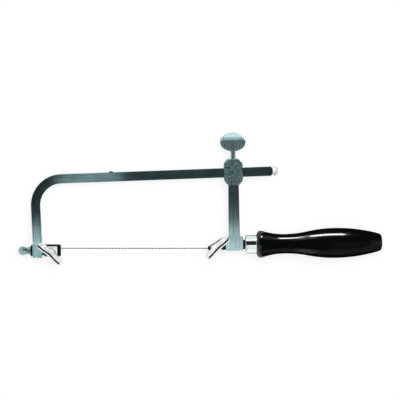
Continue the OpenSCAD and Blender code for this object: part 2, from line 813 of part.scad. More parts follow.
module handle() {
    bore = tang_r + fit;
    bore_end = tang_len + fit;
    spigot_at = ferrule_wall - ferrule_len;
    color("#101315") along_rear() translate([handle_at, 0]) rotate([0, 90, 0]) rotate_extrude()
        polygon(concat([[bore, bore_end], [bore, spigot_at], [spigot_r, spigot_at], [spigot_r, 0]],
            handle_profile(), [[0, handle_len], [0, bore_end]]));
}

frame_bow();
bar_stop_pin();
bar_end_screw();
tension_washer();
tension_screw();
front_jaw();
front_guide_pin();
front_clamp_plate();
front_clamp_stud();
front_wing();
blade();
rear_arm();
rear_guide_pin();
rear_clamp_plate();
rear_clamp_stud();
rear_wing();
slide_block();
arm_rivet();
pressure_shoe();
thumbscrew();
ferrule();
handle();
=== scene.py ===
# %% [markdown]
# # An adjustable fret saw, dressed for its picture
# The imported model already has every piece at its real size. This lesson gives each piece the
# surface and the soft edges of the real one: a nickel-plated bow and arm, satin pressed wings,
# a cast slide block, a steel blade and a turned handle in black lacquer.
# One Blender unit is a metre, and the saw lies on its back with its blade along X.

import json
import math

import bmesh
import bpy
from mathutils import Matrix, Vector


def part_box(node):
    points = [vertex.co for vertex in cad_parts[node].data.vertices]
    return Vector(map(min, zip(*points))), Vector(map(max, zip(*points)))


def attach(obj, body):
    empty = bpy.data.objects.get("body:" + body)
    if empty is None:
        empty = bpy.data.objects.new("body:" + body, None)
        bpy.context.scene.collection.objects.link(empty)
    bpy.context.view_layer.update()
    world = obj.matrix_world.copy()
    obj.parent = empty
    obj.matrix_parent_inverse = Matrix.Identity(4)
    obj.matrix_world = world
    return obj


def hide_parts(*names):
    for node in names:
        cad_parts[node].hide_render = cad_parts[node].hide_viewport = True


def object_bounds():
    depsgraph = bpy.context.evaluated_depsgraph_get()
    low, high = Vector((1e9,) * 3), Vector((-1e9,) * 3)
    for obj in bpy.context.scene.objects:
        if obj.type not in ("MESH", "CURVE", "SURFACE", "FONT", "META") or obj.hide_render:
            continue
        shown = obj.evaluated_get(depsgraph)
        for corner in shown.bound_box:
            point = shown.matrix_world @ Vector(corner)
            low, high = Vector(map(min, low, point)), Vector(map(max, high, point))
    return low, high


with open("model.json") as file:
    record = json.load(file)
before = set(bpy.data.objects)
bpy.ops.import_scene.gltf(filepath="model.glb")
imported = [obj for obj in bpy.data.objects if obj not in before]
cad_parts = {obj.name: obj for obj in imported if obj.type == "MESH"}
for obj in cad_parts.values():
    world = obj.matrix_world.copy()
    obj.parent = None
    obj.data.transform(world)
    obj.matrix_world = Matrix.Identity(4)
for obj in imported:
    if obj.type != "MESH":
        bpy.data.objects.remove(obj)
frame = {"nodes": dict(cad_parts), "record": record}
cad_box = [list(corner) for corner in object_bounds()]
MM = 0.001
record = frame["record"]
bodies = record["behaviour"]["bodies"]
body_of_node = {node: body for body, nodes in bodies.items() for node in nodes}
overall = [round(high - low, 4) for low, high in zip(*cad_box)]
print("pieces of the saw:", len(body_of_node), "overall:", overall)

# %% [markdown]
# ## Landmarks
# The lesson measures from where the blade leaves the front clamp, as a saw maker would.
# The handle, the rear arm and the top bar lean a little, so each has its own matrix that turns
# its local millimetres into places on the bench.

# %% Landmarks
BLADE_START = Vector((-109.098, -39.475, 11.72))
REAR_BOSS = BLADE_START + Vector((135.9, 2.8, 0))
REAR_LEAN = math.radians(1.0)
BAR_RISE = math.radians(2.1)
BEND_RADIUS = 20.6
BEND_MIDDLE = Vector((1.48, 34.03, 0))


def place(point, turn):
    """A matrix that takes millimetres at a turned local point to metres on the bench."""
    return Matrix.Scale(MM, 4) @ Matrix.Translation(point) @ Matrix.Rotation(turn, 4, "Z")


on_bench = place(BLADE_START, 0)
at_rear = place(REAR_BOSS, REAR_LEAN)
print("rear boss at", [round(v, 4) for v in at_rear.translation])

# %% [markdown]
# ## Camera
# The photograph looks down on the saw from about 1.4 metres, a few degrees from straight above
# and from the side of the top bar. A long lens keeps the near wings from growing.

# %% Camera
def add_object(name, data):
    """A new object in the scene."""
    thing = bpy.data.objects.new(name, data)
    bpy.context.scene.collection.objects.link(thing)
    return thing


PIXEL = 0.78 * MM
PHOTO_PIXELS = 400
SENSOR_MM = 36
DISTANCE = 1.4
TILT = math.radians(6)
target = Vector((-0.1 * MM, -1.6 * MM, 11.6 * MM))
back = Vector((0, math.sin(TILT), math.cos(TILT)))
right = Vector((1, 0, 0))
camera = add_object("camera", bpy.data.cameras.new("camera"))
bpy.context.scene.camera = camera
camera.matrix_world = Matrix((right, back.cross(right), back)).transposed().to_4x4()
camera.location = target + back * DISTANCE
camera.data.sensor_width = SENSOR_MM
camera.data.lens = SENSOR_MM * DISTANCE / (PHOTO_PIXELS * PIXEL)
camera.data.clip_start = 0.01
print("lens", round(camera.data.lens, 1), "mm")

# %% [markdown]
# ## Node helper and colours
# Every material and node group below is built by one small function. It adds a node, sets it
# up, and links whatever sockets it is given. Colours are written as sRGB hex, the way a paint
# chart gives them, and turned into the linear values that the shader wants.

# %% Node helper and colours
def put(tree, kind, inputs=None, **settings):
    """Adds a node. A value in inputs that is a socket is linked, and any other is set."""
    node = tree.nodes.new(kind)
    for key, value in settings.items():
        setattr(node, key, value)
    for key, value in (inputs or {}).items():
        if isinstance(value, bpy.types.NodeSocket):
            tree.links.new(value, node.inputs[key])
        else:
            node.inputs[key].default_value = value
    return node


def colour(hex_code):
    """An sRGB hex colour as linear RGBA."""
    channels = [int(hex_code[i : i + 2], 16) / 255 for i in (1, 3, 5)]
    return [c / 12.92 if c <= 0.04045 else ((c + 0.055) / 1.055) ** 2.4 for c in channels] + [1]


def empty_material(name):
    """A new material with an empty tree."""
    material = bpy.data.materials.new(name)
    material.use_nodes = True
    material.node_tree.nodes.clear()
    return material, material.node_tree


def start_material(name):
    """A new material for the saw, with its tree, its shader and its object coordinates."""
    material, tree = empty_material(name)
    shader = put(tree, "ShaderNodeBsdfPrincipled")
    put(tree, "ShaderNodeOutputMaterial", {"Surface": shader.outputs[0]})
    return material, tree, shader, put(tree, "ShaderNodeTexCoord").outputs["Object"]


print("mid grey is", round(colour("#808080")[0], 3), "to the shader")

# %% [markdown]
# ## Floor and room light
# The saw was shot on plain white. A lit white floor would need so much light that the nickel
# would burn out. So the floor is a grey paper that catches the faint soft shadow, and a glow of
# its own brings it to white, only for the camera and for whatever mirrors it. A soft box hangs
# over the bench, and the room is white low down and dimmer overhead.

# %% Floor
def sheet(name, corners, material):
    """A four-cornered sheet that belongs to the studio."""
    mesh = bpy.data.meshes.new(name)
    mesh.from_pydata(corners, [], [(0, 1, 2, 3)])
    mesh.materials.append(material)
    thing = add_object(name, mesh)
    return thing


def level(left, right, near, far, height):
    """Corners of a level sheet, on the bench or over it."""
    return [(left, near, height), (right, near, height), (right, far, height), (left, far, height)]


PAPER_GREY, PAPER_GLOW = "#9c9c9c", 0.73
FLOOR_HALF = 3
floor_paint, tree = empty_material("matt_white_paper")
paper = put(tree, "ShaderNodeBsdfDiffuse", {"Color": colour(PAPER_GREY)})
rays = put(tree, "ShaderNodeLightPath").outputs
seen = rays["Is Camera Ray"]
for ray in ("Is Glossy Ray", "Is Transmission Ray"):
    seen = put(tree, "ShaderNodeMath", {0: seen, 1: rays[ray]}, operation="MAXIMUM").outputs[0]
strength = put(tree, "ShaderNodeMath", {0: seen, 1: PAPER_GLOW}, operation="MULTIPLY").outputs[0]
glow = put(tree, "ShaderNodeEmission", {"Strength": strength})
both = put(tree, "ShaderNodeAddShader", {0: paper.outputs[0], 1: glow.outputs[0]})
put(tree, "ShaderNodeOutputMaterial", {"Surface": both.outputs[0]})
sheet("floor", level(-FLOOR_HALF, FLOOR_HALF, -FLOOR_HALF, FLOOR_HALF, 0), floor_paint)
print("floor:", 2 * FLOOR_HALF, "m wide")

# %% Room light
world = bpy.data.worlds.new("studio")
bpy.context.scene.world = world
world.use_nodes = True
tree = world.node_tree
tree.nodes.clear()
look_up = put(tree, "ShaderNodeTexCoord").outputs["Generated"]
height = put(tree, "ShaderNodeSeparateXYZ", {0: look_up}).outputs["Z"]
LOW, HIGH, WALL_LIGHT, CEILING_LIGHT = 0.08, 0.55, 1.0, 0.3
room = put(tree, "ShaderNodeMapRange", {"Value": height, "From Min": LOW, "From Max": HIGH,
    "To Min": WALL_LIGHT, "To Max": CEILING_LIGHT}, interpolation_type="SMOOTHSTEP").outputs[0]
sky = put(tree, "ShaderNodeBackground", {"Color": (1, 1, 1, 1), "Strength": room})
put(tree, "ShaderNodeOutputWorld", {"Surface": sky.outputs[0]})

lamp = bpy.data.lights.new("overhead_soft_box", "AREA")
lamp.shape, lamp.size, lamp.energy = "SQUARE", 1.0, 13
overhead = add_object("overhead_soft_box", lamp)
overhead.location = (0.2, 0.3, 1.35)
overhead.rotation_mode = "QUATERNION"
overhead.rotation_quaternion = (target - overhead.location).to_track_quat("-Z", "Y")
overhead.visible_camera = overhead.visible_glossy = False
print("lamp:", lamp.energy, "W over", lamp.size, "m")

# %% [markdown]
# ## What the metal and the lacquer mirror
# Flat nickel faces act as mirrors for what hangs over the bench, so their fall from light to
# dark is not in the paint. It could be drawn into each material, but then it would stay when
# the saw turns. So a large reflector with dark and light parts hangs over the bench instead, as
# a photographer would hang it, and small sheets serve the handle and the ferrule.

# %% Reflector over the bench
# Its height and the camera's give the place where each point of a flat face finds its
# reflection, so here is measured on the saw, in metres.
REFLECTOR_HEIGHT, REFLECTOR_HALF = 0.25, 0.275
reflect_scale = 1 + REFLECTOR_HEIGHT / camera.location.z
reflect_slide = -camera.location.y * REFLECTOR_HEIGHT / camera.location.z
reflector_paint, tree = empty_material("studio_reflector")
on_reflector = put(tree, "ShaderNodeTexCoord").outputs["Object"]
here = put(tree, "ShaderNodeMapping", {"Vector": on_reflector,
    "Location": (0, -reflect_slide / reflect_scale, 0),
    "Scale": (1 / reflect_scale,) * 3}).outputs[0]
axes = put(tree, "ShaderNodeSeparateXYZ", {0: here}).outputs
FADES = {  # name: the axis, where the change starts and ends, and its level there
    "low_light": ("Y", -0.014, -0.032, 0.0, 0.82),
    "more_at_rear": ("X", -0.09, 0.03, 1.0, 1.55),
    "none_at_handle": ("X", 0.038, 0.042, 1.0, 0.0),
    "dim": ("X", -0.12, -0.06, 0.024, 0.066),
    "below_top": ("Y", 0.03, 0.055, 1.0, 0.0),
}
fades = {}
for name, (axis, start, end, level_there, level_beyond) in FADES.items():
    fades[name] = put(tree, "ShaderNodeMapRange", {"Value": axes[axis],
        "From Min": start, "From Max": end, "To Min": level_there, "To Max": level_beyond},
        interpolation_type="SMOOTHSTEP").outputs[0]
low_light, dim = fades["low_light"], fades["dim"]
for name in ("more_at_rear", "none_at_handle"):
    low_light = put(tree, "ShaderNodeMath", {0: low_light, 1: fades[name]},
        operation="MULTIPLY").outputs[0]
dim = put(tree, "ShaderNodeMath", {0: dim, 1: fades["below_top"]}, operation="MULTIPLY").outputs[0]
shown = put(tree, "ShaderNodeMath", {0: low_light, 1: dim}, operation="ADD").outputs[0]
print("reflector:", 2 * REFLECTOR_HALF, "m wide,", REFLECTOR_HEIGHT, "m over the bench")

# %% Lighter patches of the reflector
OVALS = [  # the middle and half size of an oval, how soft its rim is, and its strength
    ((-0.0865, 0.016), (0.0245, 0.03), 0.12, 0.39),  # faces the front part of the bow
    ((0.028, 0.175), (0.06, 0.08), 0.3, 2.4),  # faces the thumbscrew
]
for middle, half, soft, strength in OVALS:
    centred = [-m / h for m, h in zip(middle, half)] + [0]
    in_oval = put(tree, "ShaderNodeMapping", {"Vector": here, "Location": centred,
        "Scale": (1 / half[0], 1 / half[1], 0)}).outputs[0]
    reach = put(tree, "ShaderNodeVectorMath", {0: in_oval}, operation="LENGTH").outputs["Value"]
    oval = put(tree, "ShaderNodeMapRange", {"Value": reach,
        "From Min": 1 - soft, "From Max": 1 + soft, "To Min": strength, "To Max": 0.0},
        interpolation_type="SMOOTHSTEP").outputs[0]
    shown = put(tree, "ShaderNodeMath", {0: shown, 1: oval}, operation="ADD").outputs[0]
emitted = put(tree, "ShaderNodeEmission", {"Strength": shown}).outputs[0]
put(tree, "ShaderNodeOutputMaterial", {"Surface": emitted})
half = REFLECTOR_HALF
reflector = sheet("reflector", level(-half, half, -half, half, REFLECTOR_HEIGHT), reflector_paint)
print("patches:", len(OVALS))

# %% Strip light, cloth and cards
# A narrow bright strip stands beside the handle and draws the long highlight on the lacquer.
# Black cloth lies and hangs around it, as a studio does for black gloss, so that the handle
# and the neck mirror little of the white room. Pale cards stand on both sides of the ferrule
# and hang over its front half. Black cloth over its rear half draws the dark line along it.
def glow_paint(name, strength):
    """A material that only glows."""
    paint, tree = empty_material(name)
    glow = put(tree, "ShaderNodeEmission", {"Strength": strength}).outputs[0]
    put(tree, "ShaderNodeOutputMaterial", {"Surface": glow})
    return paint


def upright(left, right, y, low, high):
    """Corners of a standing sheet that faces the saw."""
    return [(left, y, low), (right, y, low), (right, y, high), (left, y, high)]


JUST_OVER_BENCH, OVER_FERRULE, OVER_NECK = 0.0004, 0.05, 0.06
strip_glow = glow_paint("window_strip_glow", 34.0)
black_cloth, grey_cloth = glow_paint("black_cloth", 0.015), glow_paint("grey_cloth", 0.22)
white_card, pale_card = glow_paint("white_card", 1.0), glow_paint("grey_card", 0.9)
SHEETS = [
    ("window_strip", upright(0.048, 0.132, 0.1, 0.036, 0.068), strip_glow),
    ("cloth_under_handle", level(0.0545, 0.5, -0.3, 0.3, JUST_OVER_BENCH), black_cloth),
    ("cloth_over_neck", level(0.0560, 0.1, -0.09, 0.015, OVER_NECK), black_cloth),
    ("cloth_beside_neck", upright(0.0555, 0.064, -0.015, 0.0, OVER_NECK), black_cloth),
    ("cloth_under_ferrule", level(0.034, 0.0545, -0.056, -0.019, JUST_OVER_BENCH), black_cloth),
    ("cloth_behind", upright(0.0545, 0.9, 0.12, 0.0, 0.3), black_cloth),
    ("cloth_in_front", upright(0.0545, 0.9, -0.3, 0.0, 0.35), grey_cloth),
    ("card_over_ferrule", level(0.0355, 0.049, -0.073, -0.037, OVER_FERRULE), pale_card),
    ("cloth_over_ferrule", level(0.0355, 0.049, -0.036, 0.006, OVER_FERRULE), black_cloth),
    ("card_behind_ferrule", upright(0.0345, 0.0545, 0.08, 0.0, 0.115), white_card),
    ("card_before_ferrule", upright(0.0345, 0.0545, -0.16, 0.0, 0.12), white_card),
]
mirrored = [reflector] + [sheet(*details) for details in SHEETS]
for thing in mirrored:
    # only mirror rays see these
    thing.visible_camera = thing.visible_diffuse = False
    thing.visible_shadow = thing.visible_transmission = False
print("sheets that only mirrors see:", len(mirrored))

# %% [markdown]
# ## Nickel plate
# The bow and the arm are mild steel, ground along their length and then plated with nickel.
# Nickel is a warm grey metal, but plate over ground steel photographs cool, with a soft gloss.
# The grinding leaves fine lines 0.1 mm apart, drawn here at 0.3 mm because the real spacing is
# too fine for the picture, and broader streaks a millimetre wide and 30 mm long.
# An anisotropic shader could stand for the lines, but it shows no streaks, so stretched noise
# draws both. The bar was ground before it was bent, so on the bow the lines follow the bend.

# %% Ways along a bar
MM_PER_METRE = (1000, 1000, 1000)


def along_bow(tree, here):
    """Object coordinates unrolled along the bow, in mm: X along the bar, Y across it."""
    from_bend = place(BLADE_START + BEND_MIDDLE, BAR_RISE).inverted()
    turned = put(tree, "ShaderNodeMapping", {"Vector": here, "Location": from_bend.translation,
        "Rotation": from_bend.to_euler(), "Scale": from_bend.to_scale()}).outputs[0]
    axes = put(tree, "ShaderNodeSeparateXYZ", {0: turned}).outputs
    left, right, under, over = (
        put(tree, "ShaderNodeMath", {0: axes[axis], 1: 0.0}, operation=operation).outputs[0]
        for axis in "XY" for operation in ("MINIMUM", "MAXIMUM")
    )
    corner = put(tree, "ShaderNodeMath", {0: left, 1: over}, operation="ARCTAN2").outputs[0]
    bent = put(tree, "ShaderNodeMath", {0: corner, 1: BEND_RADIUS},
        operation="MULTIPLY").outputs[0]
    along = right
    for share in (under, bent):
        along = put(tree, "ShaderNodeMath", {0: along, 1: share}, operation="ADD").outputs[0]
    off_middle = put(tree, "ShaderNodeCombineXYZ", {"X": left, "Y": over}).outputs[0]
    across = put(tree, "ShaderNodeVectorMath", {0: off_middle}, operation="LENGTH").outputs["Value"]
    return put(tree, "ShaderNodeCombineXYZ", {"X": along, "Y": across, "Z": axes["Z"]}).outputs[0]


def up_arm(tree, here):
    """Millimetres with X up the rear arm and Y across it."""
    return put(tree, "ShaderNodeMapping", {"Vector": here, "Rotation": (0, 0, math.pi / 2),
        "Scale": MM_PER_METRE}).outputs[0]


def any_way(tree, here):
    """Millimetres on the bench, for tumbled pieces with no lines."""
    return put(tree, "ShaderNodeMapping", {"Vector": here, "Scale": MM_PER_METRE}).outputs[0]


print("the bend is", round(BEND_RADIUS * math.pi / 2, 1), "mm long")

# %% Nickel plate
LINE_MM, STREAK_MM, CLOUD_MM = 0.3, 1.1, 9
STREAK_SHARE = 0.55
LINE_DEPTH_MM = 0.02
DRAWN_OUT = 28


def nickel_plate(name, tint, dark_tint, roughness, bump_share, way=any_way, stretch=1,
        metallic=1.0):
    """Plated steel. way gives millimetres, and stretch draws the grinding lines out along X."""
    material, tree, shader, here = start_material(name)
    ground = way(tree, here)
    drawn = put(tree, "ShaderNodeMapping", {"Vector": ground,
        "Scale": (1 / stretch, 1, 1)}).outputs[0]
    marks = []
    for at, size, detail in ((drawn, LINE_MM, 3), (drawn, STREAK_MM, 2), (ground, CLOUD_MM, 3)):
        noise = put(tree, "ShaderNodeTexNoise", {"Vector": at, "Scale": 1 / size, "Detail": detail})
        marks.append(noise.outputs["Fac"])
    lines, streaks, clouds = marks
    both = put(tree, "ShaderNodeMix", {0: STREAK_SHARE, 2: clouds, 3: streaks},
        data_type="FLOAT").outputs[0]
    stain = put(tree, "ShaderNodeMapRange", {"Value": both,
        "From Min": 0.38, "From Max": 0.62}).outputs[0]
    tone = put(tree, "ShaderNodeMix", {0: stain, 6: colour(tint), 7: colour(dark_tint)},
        data_type="RGBA").outputs[2]
    gloss = put(tree, "ShaderNodeMapRange", {"Value": lines, "From Min": 0.3, "From Max": 0.7,
        "To Min": roughness * 0.8, "To Max": roughness * 1.25}).outputs[0]
    bump = put(tree, "ShaderNodeBump", {"Height": lines, "Strength": bump_share,
        "Distance": LINE_DEPTH_MM * MM}).outputs[0]
    shader.inputs["Metallic"].default_value = metallic
    for socket, value in (("Base Color", tone), ("Roughness", gloss), ("Normal", bump)):
        tree.links.new(value, shader.inputs[socket])
    return material


plate_along_bar = nickel_plate("nickel_plated_steel_ground_along", "#a8cfd0", "#83a6a8", 0.13, 0.3,
    along_bow, DRAWN_OUT)
plate_up_arm = nickel_plate("nickel_plated_steel_ground_up", "#adc9cb", "#90abae", 0.15, 0.3,
    up_arm, DRAWN_OUT)
plate_small = nickel_plate("nickel_plated_steel_tumbled", "#9fbfc0", "#86a5a7", 0.24, 0.5)
bright_plate = nickel_plate("bright_nickel_plate", "#f4fbfb", "#e2eeee", 0.08, 0.1)
polished_plate = nickel_plate("polished_nickel_plate", "#f4fbfb", "#e8f2f2", 0.06, 0.0)
# The braze and the wings are matt and pale, and mirror little of the dark reflector.
braze = nickel_plate("plated_braze", "#9fb9bc", "#8faaad", 0.3, 0.1, metallic=0.2)
satin_plate = nickel_plate("satin_nickel_plate", "#fdffff", "#f6fafa", 0.3, 0.03, metallic=0.3)
print("plates:", [material.name for material in bpy.data.materials if "plate" in material.name])

# %% [markdown]
# ## Castings, brass and blackened steel
# The slide block is a casting and the thumbscrew a forging. Barrel-finished and plated, they
# keep a grainy skin, with dents 1.8 mm across on the block and 0.7 mm on the thumbscrew, which
# scatters the light into a mottle. The dents could be cut into the mesh, but at this size a bump
# from noise and cells does the same with far fewer faces. The black steel, the worn plate and
# the brass share the recipe, with a grain of half a millimetre.

# %% Castings and the other metals
CREASE, CREASE_EDGE, CREASE_FADED, CREASE_LEVEL = 0.0457, 0.0461, 0.0484, 0.35
# the colour of a painted shade band just above the crease across the thumbscrew's head
CREASE_SHADE = "#0b0e0f"
CELL_SHARE = 1.6


def above_crease(tree, here):
    """1 where the thumbscrew has no painted shade, less in a painted shade band just above the
    crease across its head.
    """
    height = put(tree, "ShaderNodeSeparateXYZ", {0: here}).outputs["Y"]
    above = put(tree, "ShaderNodeMapRange", {"Value": height,
        "From Min": CREASE, "From Max": CREASE_FADED, "To Min": CREASE_LEVEL, "To Max": 1.0},
        interpolation_type="SMOOTHSTEP").outputs[0]
    below = put(tree, "ShaderNodeMath", {0: height, 1: CREASE_EDGE},
        operation="LESS_THAN").outputs[0]
    return put(tree, "ShaderNodeMath", {0: above, 1: below}, operation="MAXIMUM").outputs[0]


def mottled_metal(name, light, dark, roughness, pit_mm, depth_mm, unshaded=None):
    """A metal skin with pits of a given size. The optional mask gives 1 where no painted shade is
    mixed in, and less where a dark painted shade is mixed in.
    """
    material, tree, shader, here = start_material(name)
    pits = put(tree, "ShaderNodeTexNoise", {"Vector": here, "Scale": 1000 / pit_mm, "Detail": 4.0,
        "Roughness": 0.65}).outputs["Fac"]
    cells = put(tree, "ShaderNodeTexVoronoi", {"Vector": here,
        "Scale": 1000 / (CELL_SHARE * pit_mm)}).outputs["Distance"]
    skin = put(tree, "ShaderNodeMath", {0: pits, 1: cells}, operation="ADD").outputs[0]
    share = put(tree, "ShaderNodeMapRange", {"Value": pits,
        "From Min": 0.35, "From Max": 0.65}).outputs[0]
    tone = put(tree, "ShaderNodeMix", {0: share, 6: colour(dark), 7: colour(light)},
        data_type="RGBA").outputs[2]
    # mixes in the dark painted shade wherever the mask is below 1
    if unshaded:
        tone = put(tree, "ShaderNodeMix", {0: unshaded(tree, here), 6: colour(CREASE_SHADE), 7: tone},
            data_type="RGBA").outputs[2]
    bump = put(tree, "ShaderNodeBump", {"Height": skin, "Strength": 1.0,
        "Distance": depth_mm * MM}).outputs[0]
    shader.inputs["Metallic"].default_value = 1.0
    shader.inputs["Roughness"].default_value = roughness
    tree.links.new(tone, shader.inputs["Base Color"])
    tree.links.new(bump, shader.inputs["Normal"])
    return material


cast_nickel = mottled_metal("nickel_plated_casting", "#a2c3c9", "#486268", 0.38, 1.8, 0.14)
# the thumbscrew gets a painted shade band just above its crease
cast_thumb = mottled_metal("nickel_plated_forging", "#b6d2d4", "#7d9da0", 0.3, 0.7, 0.05,
    unshaded=above_crease)
worn_plate = mottled_metal("nickel_plated_steel_worn", "#cde8e9", "#9abbbd", 0.3, 0.6, 0.03)
black_steel = mottled_metal("blackened_steel", "#252b2d", "#121617", 0.4, 0.5, 0.02)
# near-black painted shade for the slots between the sheets of the wings
slot_shade = mottled_metal("unplated_steel_in_the_slot", "#1d2324", "#0e1112", 0.6, 0.5, 0.02)
brass = mottled_metal("turned_brass", "#c9a55c", "#a98542", 0.3, 0.4, 0.01)
print("materials so far:", len(bpy.data.materials))

# %% [markdown]
# ## Black lacquer
# The handle is beech, turned, stained and dipped in black nitrocellulose lacquer. The coat is
# a clear gloss over black, and the grain, 1.6 mm wide, shows only as long shallow ripples under
# the light. A separate coat layer would double the highlight, so one glossy black does it.

# %% Black lacquer
GRAIN_MM, GRAIN_STRETCH, RIPPLE_MM = 1.6, 0.06, 0.05
lacquer, tree, shader, here = start_material("black_lacquered_beech")
grain_at = put(tree, "ShaderNodeMapping", {"Vector": here,
    "Scale": (GRAIN_STRETCH, 1, 1)}).outputs[0]
grain = put(tree, "ShaderNodeTexNoise", {"Vector": grain_at, "Scale": 1000 / GRAIN_MM,
    "Detail": 3.0}).outputs["Fac"]
ripple = put(tree, "ShaderNodeBump", {"Height": grain, "Strength": 0.25,
    "Distance": RIPPLE_MM * MM}).outputs[0]
stain = put(tree, "ShaderNodeMix", {0: grain, 6: colour("#030404"), 7: colour("#090b0c")},
    data_type="RGBA").outputs[2]
tree.links.new(stain, shader.inputs["Base Color"])
tree.links.new(ripple, shader.inputs["Normal"])
shader.inputs["Roughness"].default_value = 0.14
shader.inputs["IOR"].default_value = 1.45
print("lacquer nodes:", len(tree.nodes))

# %% [markdown]
# ## Edges
# Machined steel never has a perfect corner. A merged copy of each CAD mesh gets a small
# rounded edge, so every corner catches a thread of light, and weighted normals keep the large
# faces flat to the eye. A bevel in the shader would be quicker, but it leaves the outline sharp.

# %% Edge helpers
EDGE_SEGMENTS, EDGE_ANGLE = 3, math.radians(28)
WELD_MM, FLAT_ANGLE = 0.002, math.radians(0.7)


def to_piece(mesh, name):
    """Writes a finished bmesh to a new object."""
    data = bpy.data.meshes.new(name)
    mesh.to_mesh(data)
    mesh.free()
    return add_object(name, data)


def merged_copy(node, name, seams=()):
    """A copy of a CAD node's mesh with its loose triangles joined into tidy faces.
    Seams are points and directions, on the bench, where a change of finish needs an edge."""
    mesh = bmesh.new()
    mesh.from_mesh(frame["nodes"][node].data)
    bmesh.ops.remove_doubles(mesh, verts=mesh.verts, dist=WELD_MM * MM)
    bmesh.ops.dissolve_limit(mesh, angle_limit=FLAT_ANGLE, verts=mesh.verts, edges=mesh.edges)
    for point, direction in seams:
        all_parts = mesh.verts[:] + mesh.edges[:] + mesh.faces[:]
        bmesh.ops.bisect_plane(mesh, geom=all_parts, plane_co=point, plane_no=direction)
    return to_piece(mesh, name)


def bake(piece):
    """Turns the evaluated piece into a plain mesh and drops its modifiers."""
    bpy.context.view_layer.update()
    evaluated = piece.evaluated_get(bpy.context.evaluated_depsgraph_get())
    baked = bpy.data.meshes.new_from_object(evaluated)
    piece.modifiers.clear()
    piece.data = baked
    baked.name = piece.name
    return piece


def dress(piece, node, material):
    """Gives a piece its finish and its body, and hides the CAD node that it stands for."""
    piece.data.materials.clear()
    piece.data.materials.append(material)
    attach(piece, body_of_node[node])
    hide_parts(node)
    return piece


def soften_edges(node, name, width_mm, material, seams=()):
    """A copy of a CAD node with small rounded edges."""
    piece = merged_copy(node, name, seams)
    piece.data.shade_smooth()
    edge = piece.modifiers.new("edge", "BEVEL")
    edge.width, edge.segments = width_mm * MM, EDGE_SEGMENTS
    edge.limit_method, edge.angle_limit = "ANGLE", EDGE_ANGLE
    flat = piece.modifiers.new("flat", "WEIGHTED_NORMAL")
    flat.keep_sharp, flat.weight = True, 100
    return dress(bake(piece), node, material)


print("edges are rounded over", EDGE_SEGMENTS, "steps")

# %% Machined pieces
MACHINED = [  # node, name, width of the rounded edge in mm, finish
    ("frame_bow", "bow_of_flat_bar", 0.35, plate_along_bar),
    ("front_jaw", "front_jaw_block", 0.3, black_steel),
    ("front_clamp_plate", "front_clamp_plate_bevelled", 0.15, bright_plate),
    ("rear_clamp_plate", "rear_clamp_plate_bevelled", 0.15, bright_plate),
    ("tension_washer", "tension_washer_black", 0.2, black_steel),
    ("bar_stop_pin", "bar_stop_pin_domed", 0.12, black_steel),
    ("bar_end_screw", "bar_end_screw_domed", 0.2, satin_plate),
    ("front_guide_pin", "front_guide_pin_ground", 0.15, worn_plate),
    ("rear_guide_pin", "rear_guide_pin_ground", 0.15, worn_plate),
    ("arm_rivet", "arm_rivet_peened", 0.2, plate_small),
    ("pressure_shoe", "pressure_shoe_brass", 0.15, brass),
]
for node, name, width_mm, material in MACHINED:
    piece = soften_edges(node, name, width_mm, material)
    print(name, len(piece.data.polygons), "faces")

# %% Shoe in its bore
# The bore of the worn block is a little tighter than in the CAD, so the hidden shoe is slimmer.
SHOE_SHARE = 0.88
shoe_low, shoe_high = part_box("pressure_shoe")
shoe_middle = (Vector(shoe_low) + Vector(shoe_high)) / 2
narrow = Matrix.Diagonal((SHOE_SHARE, 1, SHOE_SHARE, 1))
slimmer = Matrix.Translation(shoe_middle) @ narrow @ Matrix.Translation(-shoe_middle)
bpy.data.objects["pressure_shoe_brass"].data.transform(slimmer)
print("shoe is now", SHOE_SHARE, "of its width")

# %% [markdown]
# ## Rear arm
# The rear arm is a flat bar brazed to its boss, and both are plated and polished. The jaw and the
# neck that goes into the ferrule are black steel. A paler, matt line of braze shows where the bar
# meets the boss. Three pieces could stand for the three finishes, but it is one solid, so seams
# are cut and the faces beyond get their own finish.

# %% Rear arm
# All in mm from the middle of the boss: x along the handle's axis, y up the arm.
BOSS_LEFT, BOSS_RIGHT = -6.7, 6.7
BRAZE_HALF, BRAZE_LOW, BRAZE_HIGH, BRAZE_DEEP = 6.2, 6.0, 7.6, 2.0


def paint_where(piece, frame_matrix, inside, material):
    """Gives a second finish to the faces whose middle lies inside, in a local frame's mm."""
    to_local = frame_matrix.inverted()
    piece.data.materials.append(material)
    for face in piece.data.polygons:
        if inside(to_local @ face.center):
            face.material_index = len(piece.data.materials) - 1


def on_jaw_or_neck(p):
    """Left or right of the boss."""
    return p.x < BOSS_LEFT or p.x > BOSS_RIGHT


def on_braze(p):
    """Where the arm meets the boss, on the side that faces up."""
    return abs(p.x) < BRAZE_HALF and BRAZE_LOW < p.y < BRAZE_HIGH and p.z > BRAZE_DEEP


across_boss = at_rear.to_3x3() @ Vector((1, 0, 0))
seams = [(at_rear @ Vector((x, 0, 0)), across_boss) for x in (BOSS_LEFT, BOSS_RIGHT)]
rear_arm = soften_edges("rear_arm", "rear_arm_with_boss", 0.3, plate_up_arm, seams)
paint_where(rear_arm, at_rear, on_jaw_or_neck, black_steel)
paint_where(rear_arm, at_rear, on_braze, braze)
painted = sum(face.material_index > 0 for face in rear_arm.data.polygons)
print("rear arm", len(rear_arm.data.polygons), "faces, of them black or brazed:", painted)

# %% [markdown]
# ## Pressed wings, the thumbscrew and the castings
# The wings are stamped from two sheets and tumbled until no edge is left. Bevels round an edge
# evenly, but tumbling wears corners more than edges. A voxel remesh and a few rounds of
# smoothing wear the CAD form down in the same way, and keep its hollow.

